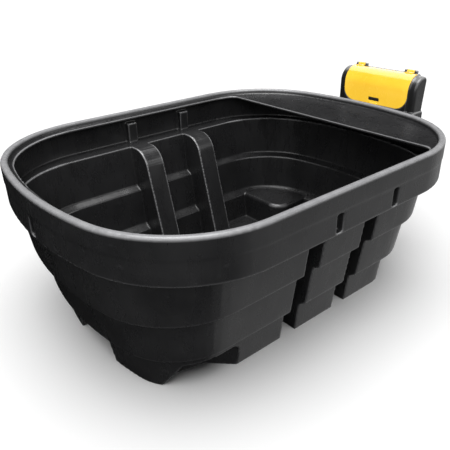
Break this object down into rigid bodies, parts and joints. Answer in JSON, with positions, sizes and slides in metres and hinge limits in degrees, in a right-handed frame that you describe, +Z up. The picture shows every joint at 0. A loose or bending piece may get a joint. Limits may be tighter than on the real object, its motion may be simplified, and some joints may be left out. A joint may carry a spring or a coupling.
{
  "type": "livestock water trough",
  "caption": "Oval black moulded livestock water trough with stepped walls, ribs, overhanging rim and a hooded float-valve box with a yellow hinged cover.",
  "frame": {"origin": "centre of the tub's base on the floor", "axes": "+X along the tub's length towards the service box, +Z up, +Y towards the corner with the drain"},
  "size_m": [1.8618, 1.266, 0.8045],
  "materials": {
    "moulded_black": "satin moulded polyethylene",
    "cover_yellow": "glossy",
    "zinc_steel": "zinc plated",
    "valve_brass": "cast, dull",
    "black_rubber": "matt",
    "nylon_white": "smooth",
    "float_orange": "smooth",
    "fitting_dark": "satin"
  },
  "bodies": {
    "base": {"tub_shell": "moulded_black", "service_box": "moulded_black", "box_gasket": "black_rubber", "housing_bolts": "zinc_steel", "housing_washers": "zinc_steel", "housing_nuts": "zinc_steel", "cover_hinge_pins": "zinc_steel", "valve_body": "valve_brass", "valve_inner_washer": "black_rubber", "valve_outer_washer": "black_rubber", "valve_locknut": "valve_brass", "valve_seat": "nylon_white", "inlet_elbow": "valve_brass", "elbow_seal": "black_rubber", "lever_pin": "zinc_steel", "drain_bush": "fitting_dark", "drain_gasket": "black_rubber", "drain_locknut": "fitting_dark"},
    "cover": {"service_cover": "cover_yellow"},
    "latch": {"cover_latch": "fitting_dark"},
    "float_arm": {"float_lever": "valve_brass", "float_rod": "zinc_steel", "rod_screw": "valve_brass", "ball_float": "float_orange", "float_nuts": "valve_brass"},
    "piston": {"valve_piston": "valve_brass", "piston_seal": "black_rubber"},
    "plug_carrier": {"plug_seal": "black_rubber"},
    "plug": {"drain_plug": "fitting_dark"}
  },
  "joints": [
    {"name": "cover_hinge", "type": "hinge", "parent": "base", "child": "cover", "pos_m": [1.01, 0, 0.7975], "axis": [0, 1, 0], "range_deg": [0, 100]},
    {"name": "latch_slide", "type": "slide", "parent": "cover", "child": "latch", "axis": [0, 0, 1], "range_m": [-0.0075, 0]},
    {"name": "float_swing", "type": "hinge", "parent": "base", "child": "float_arm", "pos_m": [0.962, 0.148, 0.566], "axis": [-1, 0, 0], "range_deg": [0, 30]},
    {"name": "piston_slide", "type": "slide", "parent": "base", "child": "piston", "axis": [0, 1, 0], "range_m": [0, 0.0048]},
    {"name": "plug_travel", "type": "slide", "parent": "base", "child": "plug_carrier", "axis": [0, 1, 0], "range_m": [0, 0.0163]},
    {"name": "plug_turn", "type": "hinge", "parent": "plug_carrier", "child": "plug", "pos_m": [0.57, 0.228, 0.048], "axis": [0, 1, 0], "range_deg": [0, 2520]}
  ],
  "couplings": [
    {"joint": "piston_slide", "follows": "float_swing", "m_per_rad": 0.009},
    {"joint": "plug_travel", "follows": "plug_turn", "m_per_rad": 0.0003675}
  ]
}
